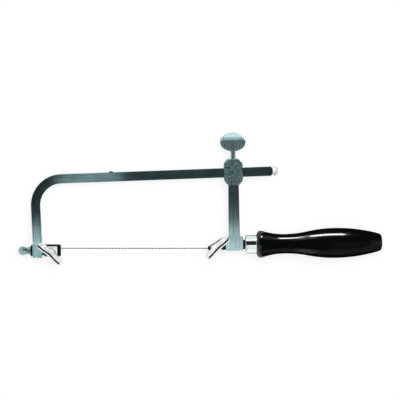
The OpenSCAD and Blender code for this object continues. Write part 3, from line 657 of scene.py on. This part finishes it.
# %% Wing slots
# In mm on each wing: x along it, y across it, and z up from where its two sheets part. The
# turns are the wings' own, in degrees, and the tips are round, so a shifted wall ends sooner.
SLOT_HALF, SLOT_SHIFT, SLOT_START = 0.6, -0.85, 0.42
TIP_MIDDLE, TIP_RADIUS = 9.2, 2.5
WALL_REACH = 0.05
WINGS = [("front_wing", "front_clamp_stud", -41), ("rear_wing", "rear_clamp_stud", 44)]
at_slot = {}
for node, stud, turn in WINGS:
    low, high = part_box(node)
    stud_low, stud_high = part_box(stud)
    foot = (Vector(stud_low) + Vector(stud_high)) / 2
    foot.z = low[2] + SLOT_START * (high[2] - low[2])
    at_slot[node] = place(foot / MM, math.radians(turn))


def shift_slot(piece, matrix):
    """Moves the walls of a wing's slot off its middle, so that one sheet is thinner."""
    to_local = matrix.inverted()
    for corner in piece.data.vertices:
        local = to_local @ corner.co
        if abs(local.y) < SLOT_HALF + WALL_REACH and local.z > -WALL_REACH:
            local.y += SLOT_SHIFT
            reach = TIP_MIDDLE + math.sqrt(TIP_RADIUS**2 - local.y**2)
            local.x = max(-reach, min(reach, local.x))
            corner.co = matrix @ local


print("slots start at", {node: round(matrix.translation.z, 4) for node, matrix in at_slot.items()})

# %% Tumbled pieces
def tumble(node, name, voxel_mm, rounds, material):
    """A copy of a CAD node with all its edges worn round, as by tumbling."""
    piece = merged_copy(node, name)
    if node in at_slot:
        shift_slot(piece, at_slot[node])
    skin = piece.modifiers.new("skin", "REMESH")
    skin.mode, skin.voxel_size, skin.use_smooth_shade = "VOXEL", voxel_mm * MM, True
    wear = piece.modifiers.new("wear", "SMOOTH")
    wear.factor, wear.iterations = 0.5, rounds
    return dress(bake(piece), node, material)


TUMBLED = [  # node, name, voxel size in mm, rounds of smoothing, finish
    ("front_wing", "front_wing_pressed", 0.13, 6, satin_plate),
    ("rear_wing", "rear_wing_pressed", 0.13, 6, satin_plate),
    ("thumbscrew", "thumbscrew_spade", 0.2, 12, cast_thumb),
    ("tension_screw", "tension_screw_disc", 0.16, 6, worn_plate),
    ("slide_block", "slide_block_cast", 0.22, 5, cast_nickel),
]
worn = {}
for node, name, voxel_mm, rounds, material in TUMBLED:
    worn[node] = tumble(node, name, voxel_mm, rounds, material)
    print(name, len(worn[node].data.polygons), "faces")

# %% [markdown]
# ## The tension screw's collar and the slots of the wings
# The collar between the disc and the boss is painted with a darker plate than the disc, as painted
# shade. The two sheets of a wing part above its foot, and the slot between them is painted near
# black, as painted shade. Both are parts of a worn piece, so their faces are painted.

# %% Collar and slot finish
COLLAR_FROM = -27.0
PAINT_REACH, PAINT_DEPTH = 0.02, 0.3


def in_slot(p):
    """Between the two sheets of a wing, and a little below where they part."""
    return abs(p.y - SLOT_SHIFT) < SLOT_HALF + PAINT_REACH and p.z > -PAINT_DEPTH


# the collar is painted with the darker tumbled plate, as painted shade
paint_where(worn["tension_screw"], on_bench, lambda p: p.x > COLLAR_FROM, plate_small)
# the slots of the wings are painted near black, as painted shade
for node, matrix in at_slot.items():
    paint_where(worn[node], matrix, in_slot, slot_shade)
for node in ("tension_screw", *at_slot):
    print(node, "painted faces:", sum(face.material_index for face in worn[node].data.polygons))

# %% [markdown]
# ## Studs
# The clamp studs are M4 screws. They carry a real thread: a ridge that climbs 0.7 mm a turn. A
# Screw modifier would leave its ends open, so the thread is made as one grid of points on a
# helix, which stays a closed skin.

# %% Threaded studs
M4_RADIUS, M4_PITCH = 2.0, 0.7
DEPTH_SHARE, END_TAPER = 0.55, 0.25
STEPS_PER_TURN, ROD_SIDES = 8, 40


def threaded_rod(name, radius, length, pitch):
    """A closed rod whose radius rises and falls once a pitch, along a helix."""
    depth = DEPTH_SHARE * pitch
    rings = round(length / pitch * STEPS_PER_TURN)
    mesh = bmesh.new()
    grid = []
    for i in range(rings + 1):
        run_out = min(1, i / STEPS_PER_TURN, (rings - i) / STEPS_PER_TURN)
        ring = []
        for k in range(ROD_SIDES):
            wave = abs((i / STEPS_PER_TURN + k / ROD_SIDES) % 1 - 0.5) * 2
            r = radius - depth * wave * run_out - END_TAPER * (1 - run_out)
            a = 2 * math.pi * k / ROD_SIDES
            ring.append(mesh.verts.new((r * math.cos(a), r * math.sin(a), length * i / rings)))
        grid.append(ring)
    for ring, next_ring in zip(grid, grid[1:]):
        for k in range(ROD_SIDES):
            n = (k + 1) % ROD_SIDES
            mesh.faces.new((ring[k], ring[n], next_ring[n], next_ring[k]))
    mesh.faces.new(reversed(grid[0]))
    mesh.faces.new(grid[-1])
    rod = to_piece(mesh, name)
    rod.data.shade_smooth()
    return rod


for _, node, _ in WINGS:
    low, high = (Vector(corner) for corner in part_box(node))
    middle = (low + high) / 2
    rod = threaded_rod(node + "_threaded", M4_RADIUS, (high.z - low.z) / MM, M4_PITCH)
    rod.data.transform(Matrix.Translation((middle.x, middle.y, low.z)) @ Matrix.Scale(MM, 4))
    dress(rod, node, plate_small)
    print(rod.name, len(rod.data.polygons), "faces")

# %% [markdown]
# ## Turned pieces
# The handle and the ferrule come off a lathe, so each is one profile spun about the handle's
# axis. The profile could be a drawn curve, but a turner works with radii: it is a run of arcs
# that meet without a corner, for the round lip, the hollow behind it, the waist, the belly and
# the rounded end.

# %% Lathe helpers
LATHE_SIDES = 96
SHARP_ANGLE = math.radians(40)


def arc(middle_x, middle_r, radius, start, end, steps):
    """Points (x, r) on an arc. Angles are in degrees, from the outward direction."""
    turns = [math.radians(start + (end - start) * i / steps) for i in range(steps + 1)]
    return [(middle_x + radius * math.sin(t), middle_r + radius * math.cos(t)) for t in turns]


def turn_on_lathe(name, profile):
    """Spins a closed profile of (x, r) about the handle's axis. Points with r 0 are poles."""
    angles = [2 * math.pi * k / LATHE_SIDES for k in range(LATHE_SIDES)]
    mesh = bmesh.new()
    rings = []
    for x, r in profile:
        points = [(x, r * math.cos(a), r * math.sin(a)) for a in angles] if r > 0 else [(x, 0, 0)]
        rings.append([mesh.verts.new(point) for point in points])
    starts_at_pole = len(rings[0]) == 1
    for ring, next_ring in zip(rings, rings[1:] + ([] if starts_at_pole else [rings[0]])):
        for k in range(LATHE_SIDES):
            n = (k + 1) % LATHE_SIDES
            corners = [ring[k % len(ring)], ring[n % len(ring)],
                next_ring[n % len(next_ring)], next_ring[k % len(next_ring)]]
            unique = list(dict.fromkeys(corners))
            if len(unique) > 2:
                mesh.faces.new(unique)
    bmesh.ops.recalc_face_normals(mesh, faces=mesh.faces)
    mesh.transform(at_rear)
    piece = to_piece(mesh, name)
    piece.data.shade_smooth()
    piece.data.set_sharp_from_angle(angle=SHARP_ANGLE)
    return piece


print("the lathe has", LATHE_SIDES, "sides")

# %% Handle
# x is measured from the lip's face, and the hole for the tang and the tenon in the ferrule
# come before the outer profile.
HANDLE_AT, HANDLE_LEN = 17.55, 97.7
LIP_R, LIP_ROUND, WAIST_R, WAIST_AT = 10.6, 3.1, 7.6, 21.5
BELLY_R, BELLY_AT, END_R, END_ROUND = 11.72, 61.5, 3.6, 3.6
TANG_END, TANG_R, TENON_LEN, TENON_R = 46.05, 2.85, 8.2, 6.45
HOLLOW_SHARE, BELLY_SHARE = 0.45, 0.55
step = WAIST_R - LIP_R + LIP_ROUND
flare = ((WAIST_AT - LIP_ROUND) ** 2 + step**2 - LIP_ROUND**2) / (2 * (LIP_ROUND - step))
lip_turn = math.degrees(math.atan2(WAIST_AT - LIP_ROUND, flare + step))
swell = BELLY_R - WAIST_R
swell_r = ((BELLY_AT - WAIST_AT) ** 2 + swell**2) / (2 * swell)
hollow, belly = HOLLOW_SHARE * swell_r, BELLY_SHARE * swell_r
swell_turn = math.degrees(math.atan2(BELLY_AT - WAIST_AT, swell_r - swell))
run, drop = HANDLE_LEN - END_ROUND - BELLY_AT, BELLY_R - END_R
tail = (run**2 + drop**2 - END_ROUND**2) / (2 * (drop - END_ROUND))
tail_turn = math.degrees(math.atan2(run, tail - drop))
profile = (
    [(TANG_END, 0), (TANG_END, TANG_R), (-TENON_LEN, TANG_R), (-TENON_LEN, TENON_R), (0, TENON_R)]
    + arc(LIP_ROUND, LIP_R - LIP_ROUND, LIP_ROUND, -90, lip_turn, 14)
    + arc(WAIST_AT, WAIST_R + flare, flare, 180 + lip_turn, 180, 14)[1:]
    + arc(WAIST_AT, WAIST_R + hollow, hollow, 180, 180 - swell_turn, 16)[1:]
    + arc(BELLY_AT, BELLY_R - belly, belly, -swell_turn, 0, 16)[1:]
    + arc(BELLY_AT, BELLY_R - tail, tail, 0, tail_turn, 20)[1:]
    + arc(HANDLE_LEN - END_ROUND, END_R, END_ROUND, tail_turn, 90, 12)[1:]
    + [(HANDLE_LEN, 0)]
)
handle = turn_on_lathe("handle_turned", [(x + HANDLE_AT, r) for x, r in profile])
dress(handle, "handle", lacquer)
radii = [round(radius, 1) for radius in (flare, belly)]
print("handle", len(handle.data.polygons), "faces, flare and belly radius", radii)

# %% Ferrule
# A drawn cap with a hole for the neck. Each end is rounded a little proud of its side, and the
# side is held straight by a point near each end, because a taper would bend its reflections.
FERRULE_AT, FERRULE_LEN = 8.45, 9.1
FERRULE_R, FERRULE_BORE, NECK_HOLE, WALL = 7.0, 6.5, 3.75, 0.9
FRONT_ROUND, REAR_ROUND = 0.9, 0.4
SIDE_FROM, SIDE_TO = 1.2, 8.4
ferrule_profile = (
    [(WALL, NECK_HOLE), (0, NECK_HOLE)]
    + arc(FRONT_ROUND, FERRULE_R, FRONT_ROUND, -90, 0, 6)
    + [(SIDE_FROM, FERRULE_R), (SIDE_TO, FERRULE_R)]
    + arc(FERRULE_LEN - REAR_ROUND, FERRULE_R, REAR_ROUND, 0, 90, 5)
    + [(FERRULE_LEN, FERRULE_BORE), (WALL, FERRULE_BORE)]
)
ferrule = turn_on_lathe("ferrule_drawn", [(x + FERRULE_AT, r) for x, r in ferrule_profile])
dress(ferrule, "ferrule", polished_plate)
print("ferrule", len(ferrule.data.polygons), "faces")

# %% [markdown]
# ## Blade and its teeth
# The blade is a strip of hardened steel 0.4 mm thick, with teeth filed into its lower edge
# every 2.6 mm. They all lean the same way. An array modifier could repeat a tooth, but here
# Geometry Nodes repeats it along a line, and the tree's inputs carry the real sizes. Hardening
# leaves the steel black, and the file brightens it between the teeth: from afar that turns the
# blade into a row of dashes.

# %% Tooth tree
teeth_tree = bpy.data.node_groups.new("blade_teeth", "GeometryNodeTree")
for in_out in ("INPUT", "OUTPUT"):
    teeth_tree.interface.new_socket("Geometry", in_out=in_out, socket_type="NodeSocketGeometry")
TREE_INPUTS = {"Count": "Int", "Start": "Vector", "Pitch": "Float", "Steel": "Material"}
for label, kind in TREE_INPUTS.items():
    teeth_tree.interface.new_socket(label, in_out="INPUT", socket_type="NodeSocket" + kind)
given = put(teeth_tree, "NodeGroupInput").outputs
pitch_way = put(teeth_tree, "ShaderNodeCombineXYZ", {"X": given["Pitch"]}).outputs[0]
row = put(teeth_tree, "GeometryNodeMeshLine", {"Count": given["Count"],
    "Start Location": given["Start"], "Offset": pitch_way}, mode="OFFSET").outputs[0]
placed = put(teeth_tree, "GeometryNodeInstanceOnPoints", {"Points": row,
    "Instance": given["Geometry"]}).outputs[0]
real = put(teeth_tree, "GeometryNodeRealizeInstances", {"Geometry": placed}).outputs[0]
steel = put(teeth_tree, "GeometryNodeSetMaterial", {"Geometry": real,
    "Material": given["Steel"]}).outputs[0]
put(teeth_tree, "NodeGroupOutput", {"Geometry": steel})
print("tooth tree nodes:", len(teeth_tree.nodes))

# %% Blade steel
PITCH, TEETH, FIRST_TOOTH = 2.6, 30, 21.5
BLACK_SHARE, BRIGHT_FROM = 0.55, 0.63
blade_steel, tree, shader, here = start_material("hardened_blade_steel")
first_place = on_bench @ Vector((FIRST_TOOTH, 0, 0))
in_teeth = put(tree, "ShaderNodeMapping", {"Vector": here, "Location": -first_place / (PITCH * MM),
    "Scale": (1 / (PITCH * MM),) * 3}).outputs[0]
tooth_count = put(tree, "ShaderNodeSeparateXYZ", {0: in_teeth}).outputs["X"]
within = put(tree, "ShaderNodeMath", {0: tooth_count}, operation="FRACT").outputs[0]
bright = put(tree, "ShaderNodeMapRange", {"Value": within,
    "From Min": BLACK_SHARE, "From Max": BRIGHT_FROM, "To Min": 0.0, "To Max": 1.0},
    interpolation_type="SMOOTHSTEP").outputs[0]
for comparison, limit in (("LESS_THAN", TEETH), ("GREATER_THAN", 0.0)):
    toothed = put(tree, "ShaderNodeMath", {0: tooth_count, 1: limit},
        operation=comparison).outputs[0]
    bright = put(tree, "ShaderNodeMath", {0: bright, 1: toothed}, operation="MULTIPLY").outputs[0]
tone = put(tree, "ShaderNodeMix", {0: bright, 6: colour("#2a3133"), 7: colour("#a6aeae")},
    data_type="RGBA").outputs[2]
# a filed face scatters the light, so it is less of a mirror than the black steel
mirror = put(tree, "ShaderNodeMath", {0: 1.0, 1: bright}, operation="SUBTRACT").outputs[0]
tree.links.new(tone, shader.inputs["Base Color"])
tree.links.new(mirror, shader.inputs["Metallic"])
shader.inputs["Roughness"].default_value = 0.3
print("teeth from", FIRST_TOOTH, "to", FIRST_TOOTH + TEETH * PITCH, "mm")

# %% Tooth and strip
THICK, TOOTH_ROOT, TOOTH_TIP, BLADE_BACK = 0.4, -0.35, -0.7, 0.2
TOOTH_LEN, TOOTH_FLAT, TOOTH_OVERLAP, TOOTH_INSET = 0.55 * PITCH, 0.12, 0.06, 0.02
BLADE_FROM, BLADE_TO, CHAMFER = -6.5, 120.5, 0.05


def prism(name, outline, half, matrix):
    """A flat outline in millimetres, made as thick as twice half, at a matrix."""
    mesh = bmesh.new()
    low, high = ([mesh.verts.new((x, y, z)) for x, y in outline] for z in (-half, half))
    mesh.faces.new(reversed(low))
    mesh.faces.new(high)
    for k in range(len(outline)):
        n = (k + 1) % len(outline)
        mesh.faces.new((low[k], low[n], high[n], high[k]))
    bmesh.ops.recalc_face_normals(mesh, faces=mesh.faces)
    mesh.transform(matrix)
    return to_piece(mesh, name)


drop = TOOTH_TIP - TOOTH_ROOT
tooth_outline = [(0, TOOTH_OVERLAP), (0, 0), (TOOTH_LEN - TOOTH_FLAT, drop), (TOOTH_LEN, drop),
    (TOOTH_LEN, TOOTH_OVERLAP)]
strip_outline = [(BLADE_FROM, TOOTH_ROOT), (BLADE_TO, TOOTH_ROOT),
    (BLADE_TO, BLADE_BACK - CHAMFER), (BLADE_TO - CHAMFER, BLADE_BACK),
    (BLADE_FROM + CHAMFER, BLADE_BACK), (BLADE_FROM, BLADE_BACK - CHAMFER)]
tooth = prism("tooth", tooth_outline, THICK / 2 - TOOTH_INSET, Matrix.Scale(MM, 4))
strip = prism("blade_strip", strip_outline, THICK / 2, on_bench)
print("a tooth is", round(TOOTH_LEN, 2), "mm long and", round(-drop, 2), "mm deep")

# %% Blade
maker = tooth.modifiers.new("repeat", "NODES")
maker.node_group = teeth_tree
items = teeth_tree.interface.items_tree
sockets = {item.name: item.identifier for item in items if item.in_out == "INPUT"}
maker[sockets["Count"]] = TEETH
maker[sockets["Start"]] = on_bench @ Vector((FIRST_TOOTH, TOOTH_ROOT, 0))
maker[sockets["Pitch"]] = PITCH * MM
maker[sockets["Steel"]] = blade_steel
bake(tooth)

joined = bmesh.new()
for used in (strip, tooth):
    joined.from_mesh(used.data)
    bpy.data.objects.remove(used)
blade = to_piece(joined, "blade_toothed")
dress(blade, "blade", blade_steel)
print("blade", len(blade.data.polygons), "faces for", TEETH, "teeth")

# %% [markdown]
# ## Finish
# The plain view transform shows each colour as it is written.

# %% Finish
bpy.context.scene.view_settings.view_transform = "Standard"
